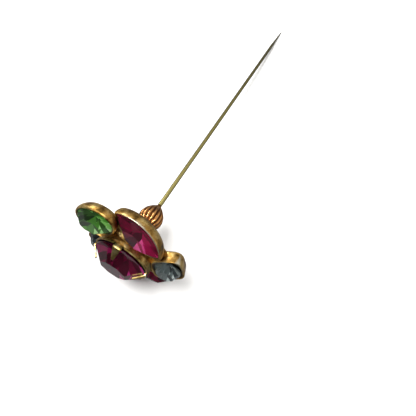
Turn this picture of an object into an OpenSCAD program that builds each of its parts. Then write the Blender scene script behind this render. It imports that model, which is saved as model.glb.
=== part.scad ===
// Stick pin with a jewelled head: a long plain stem, a fluted bead, a cast frame of five closed
// cups round a raised boss, and a big round stone held by four prongs.
// The head is drawn in the pin's own frame: the stem's tip at the origin, the stem along +Z, the
// top cup towards +X. One last turn lays the pin down on its tip and its two lower cups.

/* [Stem] */
// Diameter of the wire
stem_d = 1.0; // [0.8:0.05:1.2]
// Length of the ground point
point_l = 13; // [6:0.5:20]
// Diameter of the blunted tip
tip_d = 0.24; // [0.1:0.02:0.4]
// Distance from the tip to the thin end of the bead
bead_z = 95.55; // [70:0.05:110]

/* [Bead] */
// Length of the bead
bead_l = 6.65; // [6:0.05:8]
// Diameter over the ribs at the widest place
bead_d = 5.4; // [4.6:0.05:6]
// Number of flutes
flutes = 16; // [10:1:18]
// Depth of the flutes
flute_deep = 0.28; // [0.1:0.02:0.4]

/* [Frame] */
// Distance from the bead's thin end to the top of the boss's lip
lip_h = 13.65; // [13.5:0.05:15]
// Radius of the web that carries the cups
web_r = 8.2; // [7:0.1:9]
// Thickness of the web
web_t = 1.1; // [0.8:0.1:1.5]
// Depth of the cups
cup_deep = 2.4; // [2.2:0.1:2.6]
// Thickness of a cup's wall
wall = 0.5; // [0.4:0.05:0.6]

/* [Prong cup] */
// Outer radius of the rim
rim_r = 6.1; // [6:0.05:6.3]
// Height of the rim over the boss's lip
rim_h = 1.0; // [0.9:0.05:1.2]
// How far the cup leans away from the top cup
lean_back = 2.6; // [0:0.2:4]
// How far the cup leans towards the green cup
lean_left = 3; // [0:0.2:4]
// Thickness of the stamped sheet
sheet = 0.35; // [0.25:0.05:0.4]
// Width of a prong at its root
prong_w = 1.8; // [1.6:0.1:2.2]
// Length of a prong beyond its bend
prong_l = 2.6; // [2.2:0.1:2.8]

/* [Stones] */
// Height of the centre stone's crown
centre_crown = 2.4; // [2.2:0.05:2.6]
// Table width of the centre stone over its girdle width
centre_table = 0.49; // [0.42:0.01:0.55]
// Half length of a marquise cup
marquise_long = 6; // [5.6:0.1:6.4]
// Half width of a marquise cup
marquise_wide = 3.2; // [2.8:0.05:3.3]
// Half length of the oval cup
oval_long = 4.55; // [4.2:0.05:4.8]
// Half width of the oval cup
oval_wide = 3.5; // [3.2:0.05:3.7]
// Radius of a round cup
round_r = 3.45; // [3.2:0.05:3.6]
// Half width of the squarish cup between its flats
cushion_half = 3.3; // [3.1:0.05:3.5]
// Height of an outer stone's table over its cup's rim
crown_h = 1.4; // [1:0.05:1.6]
// Table width of an oval or round stone over its girdle width
table_part = 0.56; // [0.5:0.01:0.65]
// Table length of a marquise over its girdle length
tip_table = 0.62; // [0.55:0.01:0.68]
// Table width of a marquise over its girdle width
side_table = 0.5; // [0.45:0.01:0.56]

/* [Hidden] */
gap = 0.05;
big = 20;
cup_sides = 48;
squareness = 3.6;
// A cup's hollow: where its wall ends, how thick its floor is and how far inside the rim it starts
wall_z = -1;
floor_t = 0.6;
floor_in = 1.5;

// Where each cup stands. The columns are: direction counted clockwise on the face from the top,
// distance from the pin's axis, height of its rim over the boss's lip, outward lean, sideways
// lean, turn in its own plane, outline, added depth, how far its foot draws in, and how far its
// stone tips inwards on its seat
TURN = 0;
DIST = 1;
RISE = 2;
LEAN = 3;
SIDE = 4;
SPIN = 5;
FORM = 6;
DEEPER = 7;
FOOT = 8;
TIP = 9;
top_cup = [0, 8.65, -1.05, 10, 7, -13.5, "marquise", 0, 0.5, 0];
oval_cup = [-53, 10, 0, 5, -1, -12, "oval", -0.2, 0.6, 0];
left_cup = [-140, 8.8, -1.8, 3, 2, 0, "round", 0, 0.5, 0];
bottom_cup = [131.5, 9.25, -1.85, 14, -5, -6, "marquise", 0, 0.55, 0];
right_cup = [74, 9, -1.1, 16, 7, 17, "cushion", 0.3, 0.1, 9];
cups = [top_cup, oval_cup, left_cup, bottom_cup, right_cup];

// Heights in the pin's frame
bead_end = bead_z + bead_l;
socket_l = 1.7;
socket_end = bead_end + socket_l;
seat_step = 0.25;
seat_r = stem_d / 2 - seat_step;
bore_r = seat_r + gap;
lip_z = bead_z + lip_h;
web_below = 2.4;
web_z = lip_z - web_below;
rim_z = lip_z + rim_h;
centre_play = 0.1;
centre_r = rim_r - sheet - centre_play;
centre_girdle = 0.2;
girdle_h = 0.5;
pavilion_slope = 0.66;
centre_deep = 0.52 * centre_r;
cone_z = girdle_h - centre_girdle - pavilion_slope * centre_r;
facet_turn = 10;

// The prong cup's cone: heights of its inner and outer faces on the axis, its foot's radius and
// the rings where it meets the rim. It clears the stone above it and the boss below it.
cone_play = 0.13;
cone_t = 0.4;
cup_in = cone_z - cone_play;
cup_out = cup_in - cone_t;
cup_foot = 0.9;
cone_out_r = rim_r - 1;
cone_in_r = rim_r - 1.15;
step_r = rim_r - 0.45;
step_z = -0.72;
slit_z = -0.3;
clear = 0.07;
lean_h = 3;

// Facet directions round a stone, for the two kinds of outline
even_facets = [for (k = [0:7]) 22.5 + 45 * k];
long_facets = [0, 50, 90, 130, 180, 230, 270, 310];
function facets(form) = form == "marquise" ? long_facets : even_facets;
function tables(form) =
    form == "marquise" ? [for (a = long_facets) a % 180 == 0 ? tip_table : side_table]
    : [for (a = even_facets) table_part];
function between(list) =
    let (n = len(list))
    [for (k = [0:n - 1]) (list[k] + (k + 1 < n ? list[k + 1] : list[0] + 360)) / 2];

// Half sizes of an outline drawn evenly inwards by w
function arc_r(a, b) = (a * a + b * b) / (2 * b);
function marquise_half(a, b, w) =
    let (r = arc_r(a, b)) [sqrt(pow(r - w, 2) - pow(r - b, 2)), b - w];
function half_size(form, w) =
    form == "marquise" ? marquise_half(marquise_long, marquise_wide, w)
    : form == "oval" ? [oval_long - w, oval_wide - w]
    : form == "cushion" ? [cushion_half - w, cushion_half - w]
    : [round_r - w, round_r - w];

// An outline's points once round: two arcs for a marquise, a square with round corners and
// bulging sides for the outside of a cushion, an ellipse for all else
function arc_y(h, x) =
    let (r = arc_r(h.x, h.y)) max(0, sqrt(r * r - x * x) - r + h.y);
function corner(t) =
    pow(pow(abs(cos(t)), squareness) + pow(abs(sin(t)), squareness), -1 / squareness);
function outline_point(form, h, t) =
    form == "marquise" ? [h.x * cos(t), sign(sin(t)) * arc_y(h, h.x * cos(t))]
    : (form == "cushion" ? corner(t) : 1) * [h.x * cos(t), h.y * sin(t)];
function outline(cup_form, w) =
    let (h = half_size(cup_form, w),
         form = cup_form == "cushion" && w >= wall ? "round" : cup_form)
    [for (i = [0:cup_sides - 1]) outline_point(form, h, 360 * i / cup_sides)];
function circle_points(r) =
    [for (i = [0:cup_sides - 1]) r * [cos(360 * i / cup_sides), sin(360 * i / cup_sides)]];
function reach(points, angle) = max([for (p = points) p.x * cos(angle) + p.y * sin(angle)]);

// Turns of a point about the three axes, and a cup's own point in the pin's frame
function about_x(p, a) = [p.x, p.y * cos(a) - p.z * sin(a), p.y * sin(a) + p.z * cos(a)];
function about_y(p, a) = [p.x * cos(a) + p.z * sin(a), p.y, p.z * cos(a) - p.x * sin(a)];
function about_z(p, a) = [p.x * cos(a) - p.y * sin(a), p.x * sin(a) + p.y * cos(a), p.z];
function in_cup(c, p) =
    let (leaned = about_x(about_y(about_z(p, c[SPIN]), -c[SIDE]), -c[LEAN]))
    about_z(about_z(leaned, -90) + [c[DIST], 0, lip_z + c[RISE]], -c[TURN]);
module at_cup(c) {
    rotate([0, 0, -c[TURN]])
        translate([c[DIST], 0, lip_z + c[RISE]])
            rotate([0, 0, -90])
                rotate([-c[LEAN], 0, 0])
                    rotate([0, -c[SIDE], 0])
                        rotate([0, 0, c[SPIN]])
                            children();
}

// A cup's section. The columns are how far a ring lies inside the rim's outer edge, and its height
function cup_section(deep, foot) = [
    [foot + 0.65, -deep],
    [foot, 0.15 - deep],
    [0.36 * foot, 0.75 - deep],
    [0, -0.75],
    [0, -0.1],
    [0.1, 0],
    [0.32, 0],
    [wall, -0.22],
    [wall, wall_z],
    [floor_in, floor_t - deep]
];
function cup_rings(c) =
    [for (s = cup_section(cup_deep + c[DEEPER], c[FOOT]))
        [for (p = outline(c[FORM], s[0])) [p.x, p.y, s[1]]]];

// How the pin lies: rolled until both lower cups touch the floor together, then tipped down until
// its own tip does. Each touching point asks for a tip angle, and the largest one holds.
function cup_points(c) = [for (ring = cup_rings(c)) for (p = ring) in_cup(c, p)];
left_points = cup_points(left_cup);
bottom_points = cup_points(bottom_cup);
function asked_tip(p, roll) =
    let (depth = -about_z(p, roll).x)
    atan2(depth, p.z) - asin(tip_d / 2 / norm([depth, p.z]));
function most_tip(points, roll) = max([for (p = points) asked_tip(p, roll)]);
function level_roll(low, high, steps) =
    let (mid = (low + high) / 2)
    steps == 0 ? mid
    : most_tip(bottom_points, mid) > most_tip(left_points, mid) ? level_roll(mid, high, steps - 1)
    : level_roll(low, mid, steps - 1);
roll = level_roll(-25, 25, 24);
tip_down = most_tip(left_points, roll);
function lying(p) = about_y(about_y(about_z(p, roll), -90), tip_down);

// The middle of the pin's box on the floor
table_r = centre_table * centre_r / cos(22.5);
function in_setting(p) =
    about_y(about_x(p + [0, 0, lean_h], -lean_left), -lean_back) + [0, 0, rim_z - lean_h];
front_points = [for (k = [0:7])
    let (a = 45 * k - facet_turn)
    lying(in_setting([table_r * cos(a), table_r * sin(a), girdle_h + centre_crown]))];
module at_setting() {
    translate([0, 0, rim_z - lean_h])
        rotate([-lean_left, -lean_back, 0])
            translate([0, 0, lean_h])
                children();
}
side_points = [for (c = cups) for (p = cup_points(c)) lying(p)];
front_x = min([for (p = front_points) p.x]);
middle = [(front_x + tip_d / 2) / 2,
          (min([for (p = side_points) p.y]) + max([for (p = side_points) p.y])) / 2];
module laid_down() {
    translate([-middle.x, -middle.y, tip_d / 2])
        rotate([0, tip_down, 0])
            rotate([0, -90, 0])
                rotate([0, 0, roll])
                    children();
}

// A closed body through rings with equal counts of points
module skin(rings) {
    n = len(rings[0]);
    last = len(rings) - 1;
    sides = [for (j = [0:last - 1]) for (i = [0:n - 1])
        let (k = (i + 1) % n)
        [(j + 1) * n + i, (j + 1) * n + k, j * n + k, j * n + i]];
    first_cap = [[for (i = [0:n - 1]) i]];
    last_cap = [[for (i = [n - 1:-1:0]) last * n + i]];
    polyhedron([for (r = rings) for (p = r) p], concat(sides, first_cap, last_cap));
}

// A stone cut from a prism by planes: eight main facets and eight girdle facets on the crown,
// eight on the pavilion. Its girdle's upper edge is at height 0. The girdle facets are steeper
// than the main ones by the given factor, and start from the given part of the girdle's radius.
module crown_cut(angle, r, slope) {
    rotate([0, 0, angle])
        translate([r, 0, 0])
            rotate([0, slope, 0])
                translate([-big, -big, 0])
                    cube([2 * big, 2 * big, big]);
}
module pavilion_cut(angle, r, slope, girdle) {
    rotate([0, 0, angle])
        translate([r, 0, -girdle])
            rotate([0, -slope, 0])
                translate([-big, -big, -big])
                    cube([2 * big, 2 * big, big]);
}
module cut_stone(points, directions, parts, crown, girdle, deep, steeper = 1.3, from = 1) {
    pavilion_part = 0.95;
    count = len(directions);
    turned = between(directions);
    difference() {
        translate([0, 0, -girdle - deep])
            linear_extrude(deep + girdle + crown)
                polygon(points);
        for (k = [0:count - 1]) {
            r = reach(points, directions[k]);
            crown_cut(directions[k], r, atan(crown / (r * (1 - parts[k]))));
            pavilion_cut(directions[k], r, atan(deep / (pavilion_part * r)), girdle);
        }
        for (k = [0:count - 1]) {
            r = reach(points, turned[k]);
            part = (parts[k] + parts[(k + 1) % count]) / 2;
            crown_cut(turned[k], from * r, atan(steeper * crown / (r * (1 - part))));
        }
    }
}
module cup_stone(c) {
    seat = -0.1;
    girdle = 0.2;
    under = 1.2;
    laid_down()
        at_cup(c)
            translate([0, 0, seat])
                rotate([c[TIP], 0, 0])
                    cut_stone(outline(c[FORM], wall + gap), facets(c[FORM]), tables(c[FORM]),
                              crown_h - seat, girdle, cup_deep - under);
}

// The wire, with a slimmer end that the bead and the frame are glued on
module stem() {
    shoulder = bead_z - gap;
    bevel = 0.1;
    color("darkkhaki")
        laid_down()
            rotate_extrude($fn = 48)
                polygon([[0, 0], [0.35 * tip_d, tip_d / 8], [tip_d / 2, tip_d / 2],
                         [stem_d / 2, point_l], [stem_d / 2, shoulder - bevel],
                         [seat_r, shoulder], [seat_r, socket_end], [0, socket_end]]);
}

// The bead's section. The columns are the part of its length and the part of its widest radius
bead_section = [[0, 0.21], [0.05, 0.28], [0.12, 0.45], [0.21, 0.64], [0.3, 0.8], [0.4, 0.93],
                [0.5, 0.99], [0.6, 1], [0.69, 0.97], [0.78, 0.87], [0.87, 0.72], [0.95, 0.57],
                [1, 0.48]];
module fluted_bead() {
    n = 2 * flutes;
    color("peru")
        laid_down()
            difference() {
                skin([for (s = bead_section)
                    [for (i = [0:n - 1])
                        let (r = s[1] * (bead_d / 2 - flute_deep * (i % 2)))
                        [r * cos(360 * i / n), r * sin(360 * i / n), bead_z + s[0] * bead_l]]]);
                translate([0, 0, bead_z - 1])
                    cylinder(r = bore_r, h = bead_l + 2, $fn = 48);
            }
}

// The boss with its lip and the web round it, solid up to the lip's top. From the hub the section
// bells out under the web, rounds the web's edge, draws in to a waist above the web and opens
// again to the lip.
module boss() {
    hub_z = bead_end + gap;
    hub_r = 1.7;
    hub_h = 0.9;
    bell_r = 4.2;
    bell_h = 0.7;
    round = 0.3;
    waist_r = 5.6;
    waist_h = 1.3;
    lip_r = 6;
    lip_low = lip_z + 0.2;
    lip_high = lip_z + 1;
    rotate_extrude($fn = 96)
        polygon([[bore_r, hub_z], [hub_r, hub_z], [hub_r + 2 * round, hub_z + hub_h],
                 [bell_r, web_z - web_t - bell_h], [web_r - 1, web_z - web_t],
                 [web_r, web_z - web_t + round], [web_r, web_z - round], [web_r - round, web_z],
                 [waist_r + 2 * round, web_z + 0.1], [waist_r + round / 2, web_z + 0.5],
                 [waist_r, web_z + waist_h], [waist_r, lip_low - 0.8],
                 [lip_r - 0.05, lip_low - 0.1], [lip_r, lip_low], [lip_r, lip_high],
                 [0, lip_high], [0, socket_end + gap], [bore_r, socket_end + gap]]);
}

// What the boss leaves free for the prong cup's underside, and for the stones in the cups
module under_prong_cup() {
    foot_z = cup_out + pavilion_slope * cup_foot - clear;
    edge_r = rim_r + clear;
    at_setting()
        rotate_extrude($fn = 96)
            polygon([[0, foot_z], [cup_foot, foot_z],
                     [cone_out_r, cup_out + pavilion_slope * cone_out_r - clear],
                     [step_r, step_z - 1.3 * clear], [edge_r, slit_z - clear / 2],
                     [edge_r, big], [0, big]]);
}
module cup_hollow(c) {
    floor_z = floor_t - cup_deep - c[DEEPER];
    over_rim = 0.5;
    at_cup(c) {
        translate([0, 0, floor_z])
            linear_extrude(over_rim - floor_z)
                polygon(outline(c[FORM], floor_in));
        translate([0, 0, wall_z])
            linear_extrude(over_rim - wall_z)
                polygon(outline(c[FORM], wall));
    }
}
module cup_frame() {
    color("goldenrod")
        laid_down()
            union() {
                difference() {
                    boss();
                    under_prong_cup();
                    for (c = cups)
                        cup_hollow(c);
                }
                for (c = cups)
                    at_cup(c)
                        skin(cup_rings(c));
            }
}

// The prongs. The columns are: direction counted clockwise on the face from the top cup, how far
// the prong is bent over from upright, and the height over the rim at which it bends
prongs = [[-17.5, 50, 0.5], [75, 49, 0.65], [162, 50, 0.65], [-106, 44, 0.65]];
module prong(bend, bend_z) {
    root_z = -0.3;
    narrow_z = 0.4;
    thick = 0.28;
    point = 0.22;
    point_h = 0.3;
    blunt_h = 0.08;
    r_in = rim_r - sheet;
    inner_tip = [r_in - prong_l * sin(bend), bend_z + prong_l * cos(bend)];
    outer_tip = inner_tip + thick * [cos(bend), sin(bend)];
    end_z = outer_tip.y;
    intersection() {
        rotate([90, 0, 0])
            translate([0, 0, -prong_w / 2])
                linear_extrude(prong_w)
                    polygon([[r_in, root_z], [rim_r, root_z], [rim_r, bend_z + 0.05], outer_tip,
                             inner_tip, [r_in, bend_z]]);
        rotate([90, 0, 90])
            linear_extrude(big)
                polygon([[-prong_w / 2, root_z], [prong_w / 2, root_z], [prong_w / 2, narrow_z],
                         [point, end_z - point_h], [0.6 * point, end_z - blunt_h], [0, end_z],
                         [-0.6 * point, end_z - blunt_h], [-point, end_z - point_h],
                         [-prong_w / 2, narrow_z]]);
    }
}
module prong_cup() {
    slit = 0.22;
    inner_z = -0.36;
    bevel = 0.05;
    foot_rise = pavilion_slope * cup_foot;
    color("khaki")
        laid_down()
            at_setting() {
                difference() {
                    rotate_extrude($fn = 96)
                        polygon([[rim_r - bevel, 0], [rim_r, -bevel], [rim_r, slit_z],
                                 [step_r, step_z],
                                 [cone_out_r, cup_out + pavilion_slope * cone_out_r],
                                 [cup_foot, cup_out + foot_rise], [0, cup_out + foot_rise],
                                 [0, cup_in + foot_rise], [cup_foot, cup_in + foot_rise],
                                 [cone_in_r, cup_in + pavilion_slope * cone_in_r],
                                 [rim_r - sheet, inner_z], [rim_r - sheet, 0]]);
                    for (p = prongs)
                        rotate([0, 0, -p[0]])
                            for (side = [-1, 1])
                                translate([cone_out_r, side * (prong_w + slit) / 2 - slit / 2,
                                           slit_z])
                                    cube([2, slit, 1]);
                }
                for (p = prongs)
                    rotate([0, 0, -p[0]])
                        prong(p[1], p[2]);
            }
}

module centre_stone() {
    color("mediumvioletred")
        laid_down()
            at_setting()
                translate([0, 0, girdle_h])
                    rotate([0, 0, 22.5 - facet_turn])
                        cut_stone(circle_points(centre_r), [for (k = [0:7]) 45 * k],
                                  [for (k = [0:7]) centre_table], centre_crown, centre_girdle,
                                  centre_deep, steeper = 2.2, from = 1.03);
}

module top_marquise() {
    color("mediumvioletred") cup_stone(top_cup);
}

module bottom_marquise() {
    color("mediumvioletred") cup_stone(bottom_cup);
}

module green_oval() {
    color("yellowgreen") cup_stone(oval_cup);
}

module right_grey_round() {
    color("slategray") cup_stone(right_cup);
}

module left_grey_round() {
    color("slategray") cup_stone(left_cup);
}

stem();
fluted_bead();
cup_frame();
prong_cup();
centre_stone();
top_marquise();
bottom_marquise();
green_oval();
right_grey_round();
left_grey_round();
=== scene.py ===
import math
from functools import partial
import bpy
import bmesh
from mathutils import Matrix, Vector


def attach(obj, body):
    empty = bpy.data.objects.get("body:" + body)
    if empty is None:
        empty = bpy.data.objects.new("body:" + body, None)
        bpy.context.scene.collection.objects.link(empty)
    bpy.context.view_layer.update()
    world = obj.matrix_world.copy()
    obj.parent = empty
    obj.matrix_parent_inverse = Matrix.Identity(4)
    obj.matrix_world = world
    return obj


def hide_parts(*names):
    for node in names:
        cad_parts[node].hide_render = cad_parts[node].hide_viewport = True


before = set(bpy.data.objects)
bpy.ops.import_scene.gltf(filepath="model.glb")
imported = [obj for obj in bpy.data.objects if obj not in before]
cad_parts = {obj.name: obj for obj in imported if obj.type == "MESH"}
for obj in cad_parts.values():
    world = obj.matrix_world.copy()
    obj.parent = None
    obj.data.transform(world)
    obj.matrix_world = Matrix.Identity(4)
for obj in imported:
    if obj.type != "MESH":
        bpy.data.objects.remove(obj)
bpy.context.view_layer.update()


def report(stage):
    print("stick pin:", stage)


# Everything is drawn in the pin's own frame, in millimetres: the stem's tip at the origin, the stem
# along +Z, the top cup towards +X. pinToRow lays it down as the solid model lies, in metres.
pinPose = {"roll": 0.627922, "tipDown": 5.40839, "middle": (-56.3481, -0.0743979), "lift": 0.12}


def turn(degrees, axis):
    return Matrix.Rotation(math.radians(degrees), 4, axis)


pinToRow = (
    Matrix.Scale(0.001, 4)
    @ Matrix.Translation((-pinPose["middle"][0], -pinPose["middle"][1], pinPose["lift"]))
    @ turn(pinPose["tipDown"], "Y")
    @ turn(-90, "Y")
    @ turn(pinPose["roll"], "Z")
)


def linkObject(name, data):
    made = bpy.data.objects.new(name, data)
    bpy.context.scene.collection.objects.link(made)
    return made


# The camera, found from the photograph's two ellipses of the middle stone and the even stem. Its
# place and its three axes are in the pin's frame, the lens and sensor in millimetres.
cameraPlan = {
    "place": (61.6487, 0.0, 129.9986),
    "right": (0.409427, -0.811748, -0.416455),
    "up": (0.395574, 0.569276, -0.720726),
    "back": (0.822126, 0.130346, 0.554183),
    "lens": 26.9394,
    "sensor": 36,
    "clip": (0.002, 10),
}


def makeCamera(plan):
    data = bpy.data.cameras.new("photoCamera")
    data.lens = plan["lens"]
    data.sensor_width = plan["sensor"]
    data.clip_start, data.clip_end = plan["clip"]
    camera = linkObject("photoCamera", data)
    axes = Matrix((plan["right"], plan["up"], plan["back"])).transposed()
    turned = (pinToRow @ Matrix.Scale(1000, 4)).to_3x3() @ axes
    place = Matrix.Translation(pinToRow @ Vector(plan["place"]))
    camera.matrix_world = place @ turned.to_4x4()
    bpy.context.scene.camera = camera


makeCamera(cameraPlan)
report("camera placed")


# Nodes. One function adds a node to a material, the world or a node group. Its settings are values
# of the node or of its inputs, and a bare word is its operation. Sources feed its inputs in order
# and links feed them by name: each is a number, a node or one output of a node.
def addNode(tree, kind, settings=None, *sources, **links):
    node = tree.nodes.new(kind if kind.startswith(("Geometry", "Node")) else "ShaderNode" + kind)
    if isinstance(settings, str):
        settings = {"operation": settings}
    for name, value in (settings or {}).items():
        if name == "stops":
            ramp = node.color_ramp
            while len(ramp.elements) < len(value):
                ramp.elements.new(0.5)
            for stop, (place, tone) in zip(ramp.elements, value):
                stop.position, stop.color = place, tone
        elif name == "curve":
            line = node.mapping.curves[0]
            line.points[0].location, line.points[1].location = value[0], value[-1]
            for point in value[1:-1]:
                line.points.new(*point)
            node.mapping.update()
        elif name in node.inputs:
            node.inputs[name].default_value = value
        else:
            setattr(node, name, value)
    feeds = dict(enumerate(sources))
    feeds.update((name.replace("_", " "), source) for name, source in links.items())
    for key, source in feeds.items():
        if isinstance(source, (int, float)):
            node.inputs[key].default_value = source
        else:
            tree.links.new(getattr(source, "outputs", [source])[0], node.inputs[key])
    return node


# Materials

def colour(code):
    parts = [int(code[i:i + 2], 16) / 255 for i in (1, 3, 5)]
    return tuple(c / 12.92 if c <= 0.04045 else ((c + 0.055) / 1.055) ** 2.4 for c in parts) + (1,)


def newMaterial(name):
    material = bpy.data.materials.new(name)
    material.use_nodes = True
    material.node_tree.nodes.clear()
    return material, partial(addNode, material.node_tree)


# Gold plate over a satin casting: warm ochre with a fine grain and cloudy tone. The rims are worn
# to pale metal in places, and painted shade darkens every corner, the foot of each cup, the inside
# of the rims and the boss under the prong cup. The sizes of the grain, clouds and worn patches and the
# depths of the relief are in millimetres.
frameGold = {
    "deep": "#54401C", "plate": "#A88040", "light": "#E4C680", "worn": "#BEB8A2", "soot": "#1E1408",
    "stops": (0.48, 0.64, 0.82), "grain": 0.14, "grainShare": 0.34, "cloud": 1.8, "patch": 3.2,
    "patchiness": 2.2, "raggedness": 0.6, "bareFrom": 2.0, "bareTo": 2.4,
    "cloudDepth": 0.16, "grainDepth": 0.04, "smoothest": 0.26, "roughest": 0.48,
}


def makeFrameGold(plan):
    material, add = newMaterial("satinGoldPlate")
    place = add("TexCoord").outputs["Object"]
    clouds = add("TexNoise", {"Scale": 1000 / plan["cloud"], "Detail": 4.0}, Vector=place)
    grain = add("TexNoise", {"Scale": 1000 / plan["grain"], "Detail": 3.0}, Vector=place)
    patches = add("TexNoise", {"Scale": 1000 / plan["patch"], "Detail": 2.0}, Vector=place)
    mottled = add("Math", "MULTIPLY_ADD", grain, plan["grainShare"], clouds)
    tones = [colour(plan[name]) for name in ("deep", "plate", "light")]
    plate = add("ValToRGB", {"stops": list(zip(plan["stops"], tones))}, mottled)
    # The wear that the mesh carries is made ragged by the patches and the grain
    wear = add("Attribute", {"attribute_name": "wear"}).outputs["Fac"]
    patchy = add("Math", "MULTIPLY_ADD", patches, plan["patchiness"], wear)
    ragged = add("Math", "MULTIPLY_ADD", grain, plan["raggedness"], patchy)
    bare = add("MapRange", {"From Min": plan["bareFrom"], "From Max": plan["bareTo"]}, ragged)
    worn = add("MixRGB", {"Color2": colour(plan["worn"])}, bare, plate)
    # painted shade: darkens the plate in corners, at the cups' feet, inside the rims and under the
    # prong cup
    soot = add("Attribute", {"attribute_name": "soot"}).outputs["Fac"]
    tone = add("MixRGB", {"Color2": colour(plan["soot"])}, soot, worn)
    rough = add("MapRange", {"From Min": 0.3, "From Max": 0.7, "To Min": plan["smoothest"],
                             "To Max": plan["roughest"]}, grain)
    cast = add("Bump", {"Strength": 0.6, "Distance": plan["cloudDepth"] / 1000}, Height=clouds)
    bump = add("Bump", {"Strength": 0.35, "Distance": plan["grainDepth"] / 1000}, Height=grain,
               Normal=cast)
    shader = add("BsdfPrincipled", {"Metallic": 1.0}, Base_Color=tone, Roughness=rough, Normal=bump)
    add("OutputMaterial", None, shader)
    return material


# Stamped brass sheet: smooth, bright on its edges and bends, with painted shade darkening the inside
# of the cup and the lower part of each prong. Its clouds are 1.4 mm across, 700 of them to the metre.
prongBrass = {
    "deep": "#6A5628", "plate": "#B0965A", "light": "#E6D69A", "soot": "#0E0A06",
    "stops": (0.3, 0.5, 0.72), "clouds": 700, "roughness": 0.3,
}


def makeProngBrass(plan):
    material, add = newMaterial("stampedBrass")
    place = add("TexCoord").outputs["Object"]
    clouds = add("TexNoise", {"Scale": plan["clouds"], "Detail": 4.0}, Vector=place)
    tones = [colour(plan[name]) for name in ("deep", "plate", "light")]
    plate = add("ValToRGB", {"stops": list(zip(plan["stops"], tones))}, clouds)
    # painted shade: darkens the brass inside the seat, under the cone and low on the prongs
    soot = add("Attribute", {"attribute_name": "soot"}).outputs["Fac"]
    tone = add("MixRGB", {"Color2": colour(plan["soot"])}, soot, plate)
    shader = add("BsdfPrincipled", {"Metallic": 1.0, "Roughness": plan["roughness"]},
                 Base_Color=tone)
    add("OutputMaterial", None, shader)
    return material


# Copper-gold plate on the bead: rich orange on the ribs, darkened to brown in the flutes as painted
# shade
beadCopper = {"rib": "#CE965C", "half": "#8E5A2E", "shadedFlute": "#3E220E", "roughness": 0.18}


def makeBeadCopper(plan):
    material, add = newMaterial("copperGoldPlate")
    # painted shade: the deeper a point lies in a flute, the darker the plate
    groove = add("Attribute", {"attribute_name": "groove"}).outputs["Fac"]
    tone = add("ValToRGB", {"stops": [
        (0.0, colour(plan["rib"])), (0.55, colour(plan["half"])), (1.0, colour(plan["shadedFlute"]))]},
        groove)
    shader = add("BsdfPrincipled", {"Metallic": 1.0, "Roughness": plan["roughness"]},
                 Base_Color=tone)
    add("OutputMaterial", None, shader)
    return material


# Drawn brass wire with painted light: lighter olive yellow near the head, fading to a painted darker
# shade towards the point, with faint streaks along it. The fade runs along the laid-down pin, in
# metres.
stemWire = {
    "nearLit": "#B0A364", "far": "#625A32", "fade": (-0.045, 0.05), "streaks": (20, 900, 900),
    "roughness": 0.28,
}


def makeStemBrass(plan):
    material, add = newMaterial("drawnBrassWire")
    place = add("TexCoord").outputs["Object"]
    along = add("SeparateXYZ", None, place).outputs["X"]
    fade = add("MapRange", {"From Min": plan["fade"][0], "From Max": plan["fade"][1]}, along)
    stretched = add("Mapping", {"Scale": plan["streaks"]}, place)
    drawn = add("TexNoise", {"Scale": 3.0, "Detail": 3.0}, Vector=stretched)
    # painted light and shade: lighter near the head, darker towards the point
    tone = add("ValToRGB", {"stops": [(0.1, colour(plan["nearLit"])), (1.0, colour(plan["far"]))]},
               add("Math", "MULTIPLY_ADD", drawn, 0.35, fade))
    shader = add("BsdfPrincipled", {"Metallic": 1.0, "Roughness": plan["roughness"]},
                 Base_Color=tone)
    add("OutputMaterial", None, shader)
    return material


# Pressed and polished glass with clean, clear facets. The coloured foil behind it is diffuse, and each
# of its facets is given its own brightness as a painted reflection, so dark and bright triangles show
# through.
glassPlans = {
    "fuchsiaGlass": {"tint": "#C874AC", "foil": ("#2E0616", "#7A1A44", "#D83490", "#FF98E0")},
    "wineGlass": {"tint": "#D878A8", "foil": ("#30081C", "#8A1A4E", "#E83C90", "#FFB0E0")},
    "greenGlass": {"tint": "#B0D498", "foil": ("#1C2814", "#48663A", "#8CD068", "#FCFFF4")},
    "greyGlass": {"tint": "#C0CACA", "foil": ("#16191B", "#50585A", "#98A09E", "#F0F4F0")},
}
paintedReflectionStops = (0, 0.35, 0.75, 1)  # the facet tones at which a foil has its four colours


def makeGlass(name, plan):
    clear, add = newMaterial(name)
    shader = add("BsdfPrincipled", {"Base Color": colour(plan["tint"]), "Transmission Weight": 1.0,
                                    "Roughness": 0.0, "IOR": 1.52})
    add("OutputMaterial", None, shader)
    foil, add = newMaterial(name + "Foil")
    # each foil facet's tone is a painted reflection, from dark to a near-white painted spark
    tone = add("Attribute", {"attribute_name": "tone"}).outputs["Fac"]
    stops = [(place, colour(code)) for place, code in zip(paintedReflectionStops, plan["foil"])]
    shader = add("BsdfPrincipled", {"Roughness": 0.5, "Specular IOR Level": 0.0},
                 Base_Color=add("ValToRGB", {"stops": stops}, tone))
    add("OutputMaterial", None, shader)
    return [clear, foil]


satinGoldPlate = makeFrameGold(frameGold)
stampedBrass = makeProngBrass(prongBrass)
copperGoldPlate = makeBeadCopper(beadCopper)
drawnBrassWire = makeStemBrass(stemWire)
glass = {name: makeGlass(name, plan) for name, plan in glassPlans.items()}
report("materials made")


# Meshes

def pieceFromMesh(name, bm, materials, place=None):
    mesh = bpy.data.meshes.new(name)
    bm.to_mesh(mesh)
    bm.free()
    mesh.transform(pinToRow @ (place or Matrix.Identity(4)))
    for material in materials:
        mesh.materials.append(material)
    return linkObject(name, mesh)


sharpFrom = 38  # degrees between two faces
mergeWithin = 0.0005  # millimetres


def smooth(piece):
    piece.data.shade_smooth()
    piece.data.set_sharp_from_angle(angle=math.radians(sharpFrom))


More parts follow.
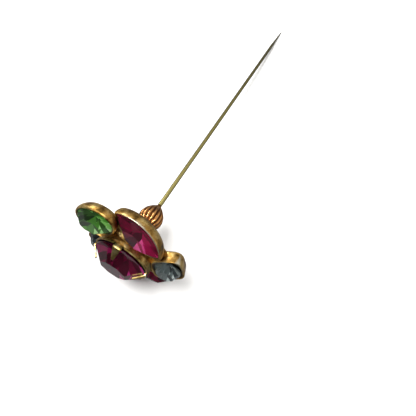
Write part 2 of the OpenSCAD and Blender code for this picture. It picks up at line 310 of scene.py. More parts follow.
def loft(bm, rings, tones=(), layers=(), joined=False):
    # Rings of points, each joined to the next. The ends are flat, or the last ring is joined to the
    # first. Tones holds one number for each layer, ring by ring.
    made = [[bm.verts.new(point) for point in ring] for ring in rings]
    for ring, values in zip(made, tones):
        for vert in ring:
            for layer, value in zip(layers, values):
                vert[layer] = value
    for low, high in zip(made, made[1:] + (made[:1] if joined else [])):
        for i in range(len(low)):
            k = (i + 1) % len(low)
            bm.faces.new((low[i], low[k], high[k], high[i]))
    if not joined:
        bm.faces.new(list(reversed(made[0])))
        bm.faces.new(made[-1])
    return made


def newGroup(name, inputs):
    group = bpy.data.node_groups.new(name, "GeometryNodeTree")
    for label, kind in inputs.items():
        group.interface.new_socket(label, in_out="INPUT", socket_type="NodeSocket" + kind)
    group.interface.new_socket("Geometry", in_out="OUTPUT", socket_type="NodeSocketGeometry")
    return group, partial(addNode, group)


def growMesh(name, group, values, seeds=()):
    # Puts the node group on a few seed points, which carry a number for each label, sets its
    # inputs, and keeps the plain mesh that grows
    mesh = bpy.data.meshes.new(name + "Seeds")
    mesh.from_pydata([(0, 0, 0) for _ in seeds], [], [])
    for label in (seeds[0] if seeds else ()):
        layer = mesh.attributes.new(label, "FLOAT", "POINT")
        layer.data.foreach_set("value", [seed[label] for seed in seeds])
    bed = linkObject(name + "Seeds", mesh)
    modifier = bed.modifiers.new(name, "NODES")
    modifier.node_group = group
    sockets = {s.name: s.identifier for s in group.interface.items_tree if s.in_out == "INPUT"}
    for label, value in values.items():
        modifier[sockets[label]] = value
    grown = bed.evaluated_get(bpy.context.evaluated_depsgraph_get())
    plain = bpy.data.meshes.new_from_object(grown)
    bpy.data.objects.remove(bed)
    plain.name = name
    return plain


# Outer cups. turn: direction counted clockwise on the face from the top; dist: from the pin's axis;
# rise: rim's height over the boss's lip; lean, side: outward and sideways; spin: in its own plane;
# half: half the length and width; deep: depth; foot: how far the wall draws in at its foot; tip: the
# stone's own tilt; wear: how worn the rim is; wornCorner: where the wall is rubbed, on its outline
lipHeight = 109.2
rimHeight = 110.2
cupPlans = {
    "topCup": {"turn": 0, "dist": 8.65, "rise": -1.05, "lean": 10, "side": 7, "spin": -13.5,
               "form": "marquise", "half": (6, 3.2), "deep": 2.4, "foot": 0.5, "wear": 1},
    "ovalCup": {"turn": -53, "dist": 10, "rise": 0, "lean": 5, "side": -1, "spin": -12,
                "form": "oval", "half": (4.55, 3.5), "deep": 2.2, "foot": 0.6, "roundRim": True},
    "leftCup": {"turn": -140, "dist": 8.8, "rise": -1.8, "lean": 3, "side": 2, "spin": 0,
                "form": "oval", "half": (3.45, 3.45), "deep": 2.4, "foot": 0.5},
    "bottomCup": {"turn": 131.5, "dist": 9.25, "rise": -1.85, "lean": 14, "side": -5, "spin": -6,
                  "form": "marquise", "half": (6, 3.2), "deep": 2.4, "foot": 0.55},
    "rightCup": {"turn": 74, "dist": 9, "rise": -1.1, "lean": 16, "side": 7, "spin": 17,
                 "form": "cushion", "half": (3.3, 3.3), "deep": 2.7, "foot": 0.1, "tip": 9,
                 "wornCorner": 135},
}
cupWall = 0.5
squareness = 3.6  # 2 is round
usualWear = 0.6
frameSides = 128


def cupPlace(cup):
    return (turn(-cup["turn"], "Z") @ Matrix.Translation((cup["dist"], 0, lipHeight + cup["rise"]))
            @ turn(-90, "Z") @ turn(-cup["lean"], "X") @ turn(-cup["side"], "Y")
            @ turn(cup["spin"], "Z"))


def outline(cup, inset, sides):
    # A marquise is two arcs that meet in points, drawn in by the inset. A cushion is square
    # outside and round inside its wall.
    halfLong, halfWide = cup["half"]
    points = []
    for i in range(sides):
        angle = 2 * math.pi * i / sides
        c, s = math.cos(angle), math.sin(angle)
        if cup["form"] == "marquise":
            arc = (halfLong ** 2 + halfWide ** 2) / (2 * halfWide)
            x = math.sqrt((arc - inset) ** 2 - (arc - halfWide) ** 2) * c
            y = math.sqrt(max(0, (arc - inset) ** 2 - x * x)) - arc + halfWide
            points.append((x, math.copysign(max(0, y), s) if abs(s) > 1e-9 else 0))
        else:
            k = 1
            if cup["form"] == "cushion" and inset < cupWall:
                k = (abs(c) ** squareness + abs(s) ** squareness) ** (-1 / squareness)
            points.append(((halfLong - inset) * c * k, (halfWide - inset) * s * k))
    return points


# A cup's section from its foot up, over the rim and down inside: inset, height, wear, painted shade
# (darker at the foot and inside the rim)
def cupSection(cup):
    deep, foot = cup["deep"], cup["foot"]
    flatRim = [(0, -0.16, 0.3, 0), (0.02, -0.08, 0.8, 0), (0.06, -0.02, 1, 0), (0.12, 0, 1, 0),
               (0.24, 0, 0.7, 0.05), (0.32, -0.03, 0.3, 0.35), (0.4, -0.1, 0, 0.8)]
    roundRim = [(0, -0.4, 0, 0), (0.03, -0.24, 0, 0), (0.09, -0.12, 0.2, 0), (0.17, -0.04, 0.3, 0),
                (0.26, 0, 0.3, 0), (0.35, -0.03, 0, 0.35), (0.42, -0.1, 0, 0.8)]
    return [
        (foot + 0.65, -deep, 0, 0.3), (foot + 0.12, 0.02 - deep, 0.1, 0.1),
        (foot, 0.15 - deep, 0.25, 0), (0.7 * foot, 0.42 - deep, 0.1, 0),
        (0.36 * foot, 0.75 - deep, 0, 0), (0.12 * foot, -1.1, 0, 0), (0, -0.75, 0, 0),
        *(roundRim if cup.get("roundRim") else flatRim),
        (cupWall, -0.22, 0, 0.95), (cupWall, -1, 0, 0.95), (1.5, 0.6 - deep, 0, 0.95),
    ]


# The plate is rubbed through in a stripe down one corner of a cup's wall: rings of the section from
# one to before the other, points to each side, wear in the middle and how it fades to the sides
rubbedStripe = {"from": 2, "before": 12, "reach": 5, "most": 1.1, "fade": 0.16}


def addCup(bm, layers, cup):
    place = cupPlace(cup)
    section = cupSection(cup)
    rings = [[place @ Vector((x, y, height)) for x, y in outline(cup, inset, frameSides)]
             for inset, height, _, _ in section]
    tones = [(wear * cup.get("wear", usualWear), soot) for _, _, wear, soot in section]
    made = loft(bm, rings, tones, layers)
    if "wornCorner" in cup:
        stripe = rubbedStripe
        wear = layers[0]
        middle = round(frameSides * cup["wornCorner"] / 360)
        for ring in made[stripe["from"]:stripe["before"]]:
            for step in range(-stripe["reach"], stripe["reach"] + 1):
                vert = ring[middle + step]
                vert[wear] = max(vert[wear], stripe["most"] - stripe["fade"] * abs(step))


# The prong cup's own leaned place over the boss, and the cone that the centre stone sits in. Each
# prong: direction counted clockwise from the top, how far it is bent over, height of its bend.
# underRim is the line that the boss keeps below, outside the cone: radius, height.
settingPlan = {
    "leanBack": 2.6, "leanLeft": 3, "leanHeight": 3, "rim": 6.1, "sheet": 0.35, "foot": 0.9,
    "slope": 0.66, "coneEnd": 5.1, "coneWall": 0.4, "bedGap": 0.13, "stoneGap": 0.1,
    "bossGap": 0.07, "underRim": ((5.65, -0.81), (6.17, -0.335), (9, -0.335)),
    "slit": 0.22, "slitFloor": -0.3, "slitFrom": 5.5,
    "prongWidth": 1.8, "prongLength": 2.5, "prongThickness": 0.28, "prongTip": 0.48,
    "prongRoot": -0.37, "bendRadius": 0.2,
    "prongs": ((-17.5, 50, 0.5), (75, 49, 0.65), (162, 50, 0.65), (-106, 44, 0.65)),
}
settingPlace = (Matrix.Translation((0, 0, rimHeight - settingPlan["leanHeight"]))
                @ turn(-settingPlan["leanBack"], "Y") @ turn(-settingPlan["leanLeft"], "X")
                @ Matrix.Translation((0, 0, settingPlan["leanHeight"])))
girdleHeight = 0.5
girdleThickness = 0.2
stoneRadius = settingPlan["rim"] - settingPlan["sheet"] - settingPlan["stoneGap"]
coneApex = girdleHeight - girdleThickness - settingPlan["slope"] * stoneRadius
coneInside = coneApex - settingPlan["bedGap"]
coneOutside = coneInside - settingPlan["coneWall"]


def underCup(x, y):
    # Height at which the boss just clears the underside of the prong cup
    plan = settingPlan
    low = coneOutside - plan["bossGap"]
    foot = low + plan["slope"] * plan["foot"]
    end = low + plan["slope"] * plan["coneEnd"]
    line = [(0, foot), (plan["foot"], foot), (plan["coneEnd"], end), *plan["underRim"]]
    z = rimHeight
    for _ in range(4):  # the lean is small, so four rounds settle it
        inside = settingPlace.inverted() @ Vector((x, y, z))
        r = math.hypot(inside.x, inside.y)
        for (r0, z0), (r1, z1) in zip(line, line[1:]):
            if r0 <= r <= r1:
                z -= inside.z - z0 - (z1 - z0) * (r - r0) / (r1 - r0)
                break
    return z


bossPlan = {"webRadius": 8.2, "webHeight": 106.8, "webThickness": 1.1, "foot": 102.25, "bore": 0.4,
            "waist": 5.6, "lip": 6.0}


def addBoss(bm, layers, plan):
    bore, foot, waist, lip = (plan[key] for key in ("bore", "foot", "waist", "lip"))
    web, edge = plan["webHeight"], plan["webRadius"]
    back = web - plan["webThickness"]
    # From the bore at the bead out along the back, round the web, up the waist and over the lip:
    # radius, height, wear, painted shade (darkest under the prong cup). Rows without a height follow
    # the prong cup's underside.
    section = [
        (bore, foot, 0, 0.5), (1.7, foot, 0.1, 0.2), (2.3, foot + 0.9, 0, 0),
        (4.2, back - 0.7, 0, 0.1), (edge - 1, back, 0, 0.2), (edge, back + 0.3, 0, 0.1),
        (edge, web - 0.3, 0, 0), (edge - 0.3, web, 0, 0),
        (waist + 0.6, web + 0.1, 0, 0), (waist + 0.3, web + 0.25, 0, 0.15),
        (waist + 0.15, web + 0.5, 0, 0.1), (waist + 0.04, web + 0.85, 0, 0.05),
        (waist, web + 1.3, 0, 0.05), (waist, lipHeight - 0.6, 0, 0),
        (waist + 0.12, lipHeight - 0.35, 0, 0), (lip - 0.12, lipHeight - 0.08, 0, 0),
        (lip - 0.03, lipHeight + 0.06, 0.3, 0), (lip, lipHeight + 0.2, 0.4, 0),
        (lip, None, 0.2, 0.1), (settingPlan["coneEnd"], None, 0, 0.9),
        (settingPlan["foot"], None, 0, 0.9), (bore, None, 0, 0.9),
    ]
    rings = []
    for radius, height, _, _ in section:
        angles = [2 * math.pi * i / frameSides for i in range(frameSides)]
        spots = [(radius * math.cos(angle), radius * math.sin(angle)) for angle in angles]
        rings.append([Vector((x, y, underCup(x, y) if height is None else height))
                      for x, y in spots])
    loft(bm, rings, [row[2:] for row in section], layers, joined=True)


def makeCupFrame():
    bm = bmesh.new()
    layers = [bm.verts.layers.float.new(name) for name in ("wear", "soot")]
    for cup in cupPlans.values():
        addCup(bm, layers, cup)
    addBoss(bm, layers, bossPlan)
    bmesh.ops.recalc_face_normals(bm, faces=bm.faces)
    piece = pieceFromMesh("cup_frame_fine", bm, [satinGoldPlate])
    smooth(piece)
    return piece


cupFrame = makeCupFrame()
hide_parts("cup_frame")
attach(cupFrame, "root")
report("cups, boss and web made")


# The prong cup. Its prongs grow from four seeds, one for each, that hold its direction, how far it
# is bent over and how high. A sheet of points is wrapped round each: across runs round the prong,
# along runs from its root up the wall, round the bend and down to its tip.
prongShape = {
    "around": 16, "along": 40,             # steps of the sheet
    "wallShare": 0.25, "bendShare": 0.35,  # of the steps along, the rest are for the straight end
    "crowding": 1.6,                       # draws those of the straight end towards the tip
    "fullWidth": 0.62,                     # millimetres from the root before it narrows
    "tipFrom": 0.93,                       # share of its length where its tip starts to round
    "tipLeast": 0.06,                      # square of the share of its width left at the end
    "flatness": 1.37,                      # 1 is an oval section, more has flat sides
    "thinFrom": 0.15, "thinOver": 0.1,     # where along it the sheet thins to the prong
    # painted shade: each prong is darker below this share of its bend's height
    "paintedShadeBelow": 0.6, "soot": 0.75,        # dark below this share of the bend's height
}


def makeProngGroup(shape):
    group, add = newGroup("foldedProngs", {
        "Seeds": "Geometry", "Rim radius": "Float", "Sheet": "Float", "Thickness": "Float",
        "Width": "Float", "Tip width": "Float", "Length": "Float", "Bend radius": "Float",
        "Root height": "Float", "Material": "Material"})
    given = add("NodeGroupInput").outputs
    calc = partial(add, "Math")
    share = partial(add, "Math", {"operation": "DIVIDE", "use_clamp": True})
    sheet = add("GeometryNodeMeshGrid", {"Size X": 1.0, "Size Y": 1.0,
                                         "Vertices X": shape["around"] + 1,
                                         "Vertices Y": shape["along"] + 1})
    copies = add("GeometryNodeInstanceOnPoints", None, given["Seeds"], Instance=sheet)
    spread = add("GeometryNodeRealizeInstances", None, copies)
    spot = add("SeparateXYZ", None, add("GeometryNodeInputPosition")).outputs
    # Half a step's turn leaves the prong's flat sides level
    across = calc("MULTIPLY_ADD", spot[0], 2 * math.pi, math.pi * (1 + 1 / shape["around"]))
    along = calc("ADD", spot[1], 0.5)
    direction, bend, bendHeight = (
        add("GeometryNodeInputNamedAttribute", {"data_type": "FLOAT", "Name": label})
        .outputs["Attribute"] for label in ("direction", "bend", "bendHeight"))

    # Shares of the wall, the bend and the straight end that lie behind a point
    wall = share(along, shape["wallShare"])
    turned = share(calc("SUBTRACT", along, shape["wallShare"]), shape["bendShare"])
    left = share(calc("SUBTRACT", 1.0, along), 1 - shape["wallShare"] - shape["bendShare"])
    ahead = calc("SUBTRACT", 1.0, calc("POWER", left, shape["crowding"]))

    # The middle line, seen from the side: x away from the axis, z up
    radius = given["Bend radius"]
    angle = calc("MULTIPLY", bend, turned)
    corner = calc("MULTIPLY", radius, calc("TANGENT", calc("MULTIPLY", bend, 0.5)))
    wallLength = calc("SUBTRACT", calc("SUBTRACT", bendHeight, corner), given["Root height"])
    straight = calc("MULTIPLY", given["Length"], ahead)
    start = calc("MULTIPLY_ADD", given["Sheet"], -0.5, given["Rim radius"])
    bendIn = calc("MULTIPLY", radius, calc("SUBTRACT", 1.0, calc("COSINE", angle)))
    endIn = calc("MULTIPLY", straight, calc("SINE", bend))
    pathX = calc("SUBTRACT", calc("SUBTRACT", start, bendIn), endIn)
    wallUp = calc("MULTIPLY_ADD", wallLength, wall, given["Root height"])
    bendUp = calc("MULTIPLY", radius, calc("SINE", angle))
    endUp = calc("MULTIPLY", straight, calc("COSINE", bend))
    pathZ = calc("ADD", calc("ADD", wallUp, bendUp), endUp)

    # Its width: it narrows beyond the wall's top, and its tip is rounded
    gone = calc("ADD", calc("MULTIPLY", wallLength, wall),
                calc("ADD", calc("MULTIPLY", radius, angle), straight))
    whole = calc("ADD", wallLength, calc("ADD", calc("MULTIPLY", radius, bend), given["Length"]))
    narrowing = share(calc("SUBTRACT", gone, shape["fullWidth"]),
                      calc("SUBTRACT", whole, shape["fullWidth"]))
    width = calc("MULTIPLY_ADD", calc("SUBTRACT", given["Tip width"], given["Width"]), narrowing,
                 given["Width"])
    tipShare = share(calc("SUBTRACT", calc("DIVIDE", gone, whole), shape["tipFrom"]),
                     1 - shape["tipFrom"])
    rounding = calc("SQRT", calc("MAXIMUM", shape["tipLeast"], calc(
        "SUBTRACT", 1.0, calc("MULTIPLY", tipShare, tipShare))))
    # The first and last rows are drawn together to a point, so that the prong is closed
    closed = share(calc("MINIMUM", along, calc("SUBTRACT", 1.0, along)), 1 / shape["along"])
    halfWidth = calc("MULTIPLY", calc("MULTIPLY", width, 0.5), calc("MULTIPLY", rounding, closed))
    thinning = share(calc("SUBTRACT", along, shape["thinFrom"]), shape["thinOver"])
    thick = calc("MULTIPLY_ADD", calc("SUBTRACT", given["Thickness"], given["Sheet"]), thinning,
                 given["Sheet"])
    halfThick = calc("MULTIPLY", calc("MULTIPLY", thick, 0.5),
                     calc("MULTIPLY", calc("SQRT", rounding), closed))

    def flattened(wave):
        # A wave cut off at 1 and -1 leaves flat sides with small bevels
        return calc("MAXIMUM", calc("MINIMUM", calc("MULTIPLY", wave, shape["flatness"]), 1.0), -1.0)

    # Round the middle line, hollowed to the rim's curve, and turned to the prong's direction
    side = calc("MULTIPLY", halfWidth, flattened(calc("COSINE", across)))
    hollow = calc("DIVIDE", calc("MULTIPLY", calc("MULTIPLY", side, side), 0.5), given["Rim radius"])
    out = calc("SUBTRACT", calc("MULTIPLY", halfThick, flattened(calc("SINE", across))), hollow)
    x = calc("MULTIPLY_ADD", out, calc("COSINE", angle), pathX)
    z = calc("MULTIPLY_ADD", out, calc("SINE", angle), pathZ)
    spin = calc("MULTIPLY", direction, -1.0)
    cosine, sine = calc("COSINE", spin), calc("SINE", spin)
    position = add(
        "CombineXYZ", None,
        calc("SUBTRACT", calc("MULTIPLY", x, cosine), calc("MULTIPLY", side, sine)),
        calc("ADD", calc("MULTIPLY", x, sine), calc("MULTIPLY", side, cosine)), z)
    # Painted shade on each prong below part of its bend's height, dimming the light on its root
    paintedProngShade = calc("MULTIPLY", shape["soot"], calc(
        "LESS_THAN", pathZ, calc("MULTIPLY", bendHeight, shape["paintedShadeBelow"])))
    kept = add("GeometryNodeStoreNamedAttribute",
               {"data_type": "FLOAT", "domain": "POINT", "Name": "soot"}, spread, Value=paintedProngShade)
    wrapped = add("GeometryNodeSetPosition", None, kept, Position=position)
    merged = add("GeometryNodeMergeByDistance", {"Distance": mergeWithin}, wrapped)
    real = add("GeometryNodeRealizeInstances", None, merged)
    painted = add("GeometryNodeSetMaterial", None, real, Material=given["Material"])
    add("NodeGroupOutput", None, painted)
    return group


cupSides = 160
slitClear, slitStep = 0.8, 0.35  # degrees


def slitAngles(plan):
    # Where the rim is cut behind each prong, in degrees anticlockwise from the top
    half = math.degrees(math.asin((plan["prongWidth"] / 2 + plan["slit"]) / plan["rim"]))
    return [(-direction - half, -direction + half) for direction, _, _ in plan["prongs"]]


def makeProngCup(plan):
    seeds = [{"direction": math.radians(direction), "bend": math.radians(bend), "bendHeight": height}
             for direction, bend, height in plan["prongs"]]
    prongs = growMesh("foldedProngs", makeProngGroup(prongShape), {
        "Rim radius": plan["rim"], "Sheet": plan["sheet"], "Thickness": plan["prongThickness"],
        "Width": plan["prongWidth"], "Tip width": plan["prongTip"], "Length": plan["prongLength"],
        "Bend radius": plan["bendRadius"], "Root height": plan["prongRoot"],
        "Material": stampedBrass}, seeds)
    bm = bmesh.new()
    bm.from_mesh(prongs)
    layers = [bm.verts.layers.float["soot"]]
    rim, inside, foot, end = plan["rim"], plan["rim"] - plan["sheet"], plan["foot"], plan["coneEnd"]
    outer = [coneOutside + plan["slope"] * r for r in (foot, end)]
    inner = [coneInside + plan["slope"] * r for r in (foot, end - 0.15)]
    # From the axis out along the cone, up over the rim and back down inside: radius, height, painted
    # shade (darkest inside the seat and under the cone)
    section = [
        (0.02, outer[0], 0.9), (foot, outer[0], 0.9), (end, outer[1], 0.3),
        (rim - 0.45, -0.72, 0.15), (rim - 0.1, -0.5, 0.05), (rim, -0.3, 0), (rim, -0.15, 0),
        (rim - 0.03, -0.07, 0), (rim - 0.08, -0.02, 0), (rim - 0.14, 0, 0),
        (inside + 0.14, 0, 0.1), (inside + 0.04, -0.04, 0.7), (inside, -0.12, 1),
        (inside, -0.36, 1), (end - 0.15, inner[1], 1), (foot, inner[0], 1), (0.02, inner[0], 1),
    ]
    # Even steps round the cup, cleared near a slit's sides for two of its own, so that it is sharp
    slits = slitAngles(plan)
    sides = [side for slit in slits for side in slit]
    angles = [360 * i / cupSides for i in range(cupSides)]
    angles = [a for a in angles
              if all(abs((a - side + 180) % 360 - 180) > slitClear for side in sides)]
    for low, high in slits:
        angles += [low - slitStep, low, high, high + slitStep]
    angles = sorted(angle % 360 for angle in angles)

    def inSlit(angle):
        return any((angle - low + 0.001) % 360 <= high - low + 0.002 for low, high in slits)

    rings = []
    for radius, height, _ in section:
        ring = []
        for angle in angles:
            lowered = radius > plan["slitFrom"] and inSlit(angle)
            ring.append(Vector((radius * math.cos(math.radians(angle)),
                                radius * math.sin(math.radians(angle)),
                                min(height, plan["slitFloor"]) if lowered else height)))
        rings.append(ring)
    loft(bm, rings, [row[2:] for row in section], layers)
    bmesh.ops.recalc_face_normals(bm, faces=bm.faces)
    piece = pieceFromMesh("prong_cup_fine", bm, [stampedBrass], settingPlace)
    smooth(piece)
    return piece


prongCup = makeProngCup(settingPlan)
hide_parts("prong_cup")
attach(prongCup, "root")
report("prong cup made")


# The stones: a prism of the outline, cut by planes like a real facet
def sliceOff(bm, point, normal):
    cut = bmesh.ops.bisect_plane(bm, geom=bm.verts[:] + bm.edges[:] + bm.faces[:], plane_co=point,
                                 plane_no=normal, clear_outer=True, dist=1e-6)
    rim = [e for e in cut["geom_cut"] if isinstance(e, bmesh.types.BMEdge)]
    if rim:
        bmesh.ops.holes_fill(bm, edges=rim)


# How the facets sit. Directions are in degrees from the outline's long axis, and tables are the
# share of the reach that the table has in each direction. Tones, one for each of sixteen
# directions from the first facet on, are how bright the foil's facets are painted: painted reflections
# of the light the stone throws back.
evenFacets = {"directions": [22.5 + 45 * k for k in range(8)], "tables": [0.56] * 8}
longFacets = {"directions": [0, 50, 90, 130, 180, 230, 270, 310],
              "tables": [0.62, 0.5, 0.5, 0.5, 0.62, 0.5, 0.5, 0.5]}
centreFacets = {"directions": [45 * k for k in range(8)], "tables": [0.49] * 8}
backCut = {"reach": 0.95, "steeper": 1.08}  # the pavilion's facets, and those between them


def cutStone(name, points, plan, materials, place):
    crown, girdle, deep = plan["crown"], plan["girdle"], plan["deep"]
    directions, tables = plan["directions"], plan["tables"]
    bm = bmesh.new()
    loft(bm, [[Vector((x, y, height)) for x, y in points] for height in (-girdle - deep, crown)])

    def facet(degrees, start, height, rise):
        # A plane that leans inward, up for the crown and down for the back. Rise is what it rises
        # over the outline's reach in that direction.
        angle = math.radians(degrees)
        across = Vector((math.cos(angle), math.sin(angle), 0))
        reach = max(x * across.x + y * across.y for x, y in points)
        lean = math.atan(abs(rise) / reach)
        up = Vector((0, 0, math.copysign(math.cos(lean), rise)))
        sliceOff(bm, start * reach * across + Vector((0, 0, height)), math.sin(lean) * across + up)

    following = directions[1:] + [directions[0] + 360]
    for i, (main, after) in enumerate(zip(directions, following)):
        between = (main + after) / 2
        tableBetween = (tables[i] + tables[(i + 1) % len(tables)]) / 2
        facet(main, 1, 0, crown / (1 - tables[i]))
        facet(between, plan["from"], 0, plan["steeper"] * crown / (1 - tableBetween))
        facet(main, 1, -girdle, -deep / backCut["reach"])
        facet(between, 1, -girdle, -backCut["steeper"] * deep / backCut["reach"])
    bmesh.ops.recalc_face_normals(bm, faces=bm.faces)
    tone = bm.faces.layers.float.new("tone")
    tones = plan["tones"]
    for face in bm.faces:
        if face.normal.z < -0.2:  # the back's facets carry the foil
            degrees = math.degrees(math.atan2(face.normal.y, face.normal.x)) - directions[0]
            face.material_index = 1
            # painted reflection: this facet's listed brightness
            face[tone] = tones[round(degrees * len(tones) / 360) % len(tones)]
    return pieceFromMesh(name, bm, materials, place)


stonePlans = {
    "top_marquise": {"cup": "topCup", "glass": "wineGlass", "slot": "fuchsia_glass", "tones": (
        0.35, 0.3, 0.3, 0.3, 0.4, 0.2, 0.2, 0.1, 0.3, 0.5, 0.28, 0.2, 0.06, 0.95, 0.46, 0.8)},
    "bottom_marquise": {"cup": "bottomCup", "glass": "wineGlass", "slot": "fuchsia_glass", "tones": (
        0.1, 0.3, 0.1, 0.2, 0.4, 0.1, 0.2, 0.1, 0.3, 0.1, 0.2, 0.4, 0.1, 0.2, 0.1, 0.3)},
    "green_oval": {"cup": "ovalCup", "glass": "greenGlass", "slot": "green_glass", "tones": (
        0.6, 0.4, 0.35, 0.8, 0.34, 0.55, 0.3, 0.5, 0.08, 0.6, 0.46, 0.9, 0.3, 1, 0.8, 0.95)},
    "right_grey_round": {"cup": "rightCup", "glass": "greyGlass", "slot": "grey_glass", "tones": (
        0.16, 0.7, 0.8, 0.5, 0.5, 0.4, 0.3, 0.4, 0.3, 0.5, 0.55, 0.7, 0.58, 0.75, 0.5, 1)},
    "left_grey_round": {"cup": "leftCup", "glass": "greyGlass", "slot": "grey_glass", "tones": (
        0.1, 0.4, 0.2, 0.1, 0.5, 0.2, 0.1, 0.3, 0.2, 0.6, 0.1, 0.3, 0.2, 0.1, 0.4, 0.2)},
}
outerCut = {"crown": 1.5, "girdle": 0.2, "steeper": 1.3, "from": 1, "deep": 1.2, "sides": 96,
            "gap": 0.05, "sink": 0.1}

for node, plan in stonePlans.items():
    cup = cupPlans[plan["cup"]]
    facets = longFacets if cup["form"] == "marquise" else evenFacets
    seat = (cupPlace(cup) @ Matrix.Translation((0, 0, -outerCut["sink"]))
            @ turn(cup.get("tip", 0), "X"))
    stone = cutStone(node + "_fine", outline(cup, cupWall + outerCut["gap"], outerCut["sides"]),
                     {**outerCut, **facets, **plan}, glass[plan["glass"]], seat)
    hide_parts(node)
    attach(stone, "root")

centreCut = {
    "crown": 2.4, "girdle": girdleThickness, "steeper": 2.2, "from": 1.03,
    "deep": 0.52 * stoneRadius, "sides": 120, "spin": 12.5,
    "tones": (0.12, 0.1, 0.15, 0.4, 0.62, 0.6, 0.14, 0.35, 0.12, 0.85, 0.32, 0.25, 0.15, 0.12,
              0.15, 0.12),
}
circle = [(stoneRadius * math.cos(2 * math.pi * i / centreCut["sides"]),
           stoneRadius * math.sin(2 * math.pi * i / centreCut["sides"]))
          for i in range(centreCut["sides"])]
centreStone = cutStone("centre_stone_fine", circle, {**centreCut, **centreFacets},
                       glass["fuchsiaGlass"],
                       settingPlace @ Matrix.Translation((0, 0, girdleHeight))
                       @ turn(centreCut["spin"], "Z"))
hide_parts("centre_stone")
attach(centreStone, "root")
report("stones cut")

# The stem keeps its solid
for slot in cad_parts["stem"].material_slots:
    slot.material = drawnBrassWire


# The bead. A sheet of points is wrapped round the pin: its first number runs round the bead, its
# second along the section, from the bore over the outside and back through the bore. Along it run
# three curves: the radius, as a share of the bead's, with 0.148 at the bore; the place, as a share
# of its length; and how deep the flutes are.
beadPlan = {
    "start": 95.55, "length": 6.65, "radius": 2.7, "flutes": 16, "depth": 0.28, "sharpness": 1.4,
    "stepsPerFlute": 14, "stepsAlong": 120,
    "radii": ((0, 0.148), (0.02, 0.185), (0.035, 0.21), (0.08, 0.28), (0.15, 0.45), (0.25, 0.64),
              (0.35, 0.8), (0.45, 0.93), (0.53, 0.99), (0.6, 1), (0.67, 0.97), (0.74, 0.87),
              (0.81, 0.72), (0.87, 0.57), (0.905, 0.5), (0.92, 0.46), (0.94, 0.148), (1, 0.148)),
    "places": ((0, 0), (0.02, 0), (0.035, 0.02), (0.08, 0.06), (0.15, 0.12), (0.25, 0.21),
               (0.35, 0.3), (0.45, 0.4), (0.53, 0.5), (0.6, 0.6), (0.67, 0.69), (0.74, 0.78),
               (0.81, 0.87), (0.87, 0.95), (0.905, 0.99), (0.92, 1), (0.94, 1), (0.985, 0), (1, 0)),
    "fluting": ((0, 0), (0.08, 0.1), (0.25, 0.5), (0.4, 0.9), (0.5, 1), (0.67, 1), (0.81, 0.8),
                (0.9, 0.45), (0.92, 0), (1, 0)),
}


def makeBeadGroup(plan):
    group, add = newGroup("flutedBead", {
        "Start": "Float", "Length": "Float", "Radius": "Float", "Flutes": "Int",
        "Flute depth": "Float", "Material": "Material"})
    given = add("NodeGroupInput").outputs
    calc = partial(add, "Math")
    sheet = add("GeometryNodeMeshGrid", {"Size X": 1.0, "Size Y": 1.0,
                                         "Vertices X": plan["flutes"] * plan["stepsPerFlute"] + 1,
                                         "Vertices Y": plan["stepsAlong"] + 1})
    spot = add("SeparateXYZ", None, add("GeometryNodeInputPosition")).outputs
    angle = calc("MULTIPLY", calc("ADD", spot[0], 0.5), 2 * math.pi)
    along = calc("ADD", spot[1], 0.5)
    radius, place, fluting = (add("FloatCurve", {"curve": plan[key]}, Value=along)
                              for key in ("radii", "places", "fluting"))
    wave = calc("COSINE", calc("MULTIPLY", angle, given["Flutes"]))
    hollow = calc("MULTIPLY_ADD", wave, -0.5, 0.5)
    groove = calc("MULTIPLY", calc("POWER", hollow, plan["sharpness"]), fluting)
    size = calc("SUBTRACT", calc("MULTIPLY", radius, given["Radius"]),
                calc("MULTIPLY", groove, given["Flute depth"]))
    position = add("CombineXYZ", None, calc("MULTIPLY", size, calc("COSINE", angle)),
                   calc("MULTIPLY", size, calc("SINE", angle)),
                   calc("MULTIPLY_ADD", place, given["Length"], given["Start"]))
    kept = add("GeometryNodeStoreNamedAttribute",
               {"data_type": "FLOAT", "domain": "POINT", "Name": "groove"}, sheet, Value=groove)
    wrapped = add("GeometryNodeSetPosition", None, kept, Position=position)
    merged = add("GeometryNodeMergeByDistance", {"Distance": mergeWithin}, wrapped)
    shaded = add("GeometryNodeSetShadeSmooth", None, merged)
    real = add("GeometryNodeRealizeInstances", None, shaded)
    painted = add("GeometryNodeSetMaterial", None, real, Material=given["Material"])
    add("NodeGroupOutput", None, painted)
    return group


beadMesh = growMesh("fluted_bead_fine", makeBeadGroup(beadPlan), {
    "Start": beadPlan["start"], "Length": beadPlan["length"], "Radius": beadPlan["radius"],
    "Flutes": beadPlan["flutes"], "Flute depth": beadPlan["depth"], "Material": copperGoldPlate})
beadMesh.transform(pinToRow)
bead = linkObject("fluted_bead_fine", beadMesh)
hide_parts("fluted_bead")
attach(bead, "root")
report("bead grown")


# A floor of pale paper. It doesn't show in the metal or the stones, where the room's table does.
floorPlan = {"halfWidth": 3, "tone": "#F4F3F1", "roughness": 0.9}


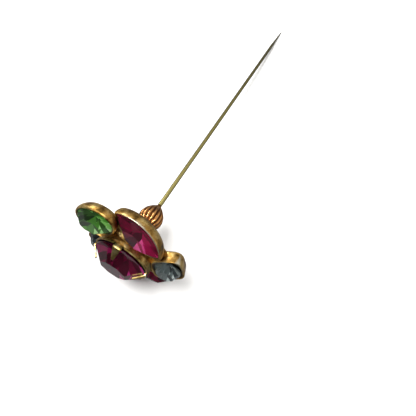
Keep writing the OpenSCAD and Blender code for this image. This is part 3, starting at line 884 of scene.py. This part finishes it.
def makeFloor(plan):
    bm = bmesh.new()
    bmesh.ops.create_grid(bm, x_segments=1, y_segments=1, size=plan["halfWidth"])
    mesh = bpy.data.meshes.new("floor")
    bm.to_mesh(mesh)
    bm.free()
    material, add = newMaterial("palePaper")
    paper = add("BsdfPrincipled", {"Roughness": plan["roughness"], "Base Color": colour(plan["tone"])})
    add("OutputMaterial", None, paper)
    mesh.materials.append(material)
    floor = linkObject("floor", mesh)
    floor.visible_glossy = False


# Two soft boxes, aimed at the pin's head: the key from above and a small weak one from the side
lightPlans = {
    "keyBox": {"place": (-0.17, 0.33, 0.6), "size": 0.28, "power": 6.0},
    "sideBox": {"place": (0.16, 0.42, 0.2), "size": 0.14, "power": 0.8},
}
headPlace = (-0.05, 0, 0)


def makeLight(name, plan):
    data = bpy.data.lights.new(name, "AREA")
    data.size = plan["size"]
    data.energy = plan["power"]
    lamp = linkObject(name, data)
    lamp.location = plan["place"]
    away = Vector(headPlace) - Vector(plan["place"])
    lamp.rotation_euler = away.to_track_quat("-Z", "Y").to_euler()


makeFloor(floorPlan)
for name, plan in lightPlans.items():
    makeLight(name, plan)


# The room: a ceiling of soft light, a pale table below, and one end of the room left dark. Each row
# gives a place, from 0 straight down or at the dark end to 1, and how bright it is there.
roomPlan = {
    "below": ((0, 0.34), (0.28, 0.32), (0.42, 0.1), (0.5, 0.06)),
    "above": ((0.44, 0.05), (0.5, 0.3), (0.6, 0.5), (0.85, 0.95), (1, 1.1)),
    "side": ((0.1, 0.15), (0.3, 0.35), (0.45, 0.9), (0.6, 1)),
}


def makeWorld(plan):
    world = bpy.data.worlds.new("studio")
    bpy.context.scene.world = world
    world.use_nodes = True
    add = partial(addNode, world.node_tree)
    parts = add("SeparateXYZ", None, add("TexCoord").outputs["Generated"]).outputs
    levels = {}
    for name, axis in (("below", "Z"), ("above", "Z"), ("side", "X")):
        level = add("MapRange", {"From Min": -1.0, "From Max": 1.0}, parts[axis])
        stops = [(at, (value, value, value, 1)) for at, value in plan[name]]
        levels[name] = add("ValToRGB", {"stops": stops}, level)
    sky = add("Math", "MULTIPLY", levels["above"], levels["side"])
    room = add("Math", "MAXIMUM", levels["below"], sky)
    world.node_tree.links.new(room.outputs[0], world.node_tree.nodes["Background"].inputs[0])


makeWorld(roomPlan)
bpy.context.scene.view_settings.view_transform = "Standard"
report("floor and lights set")
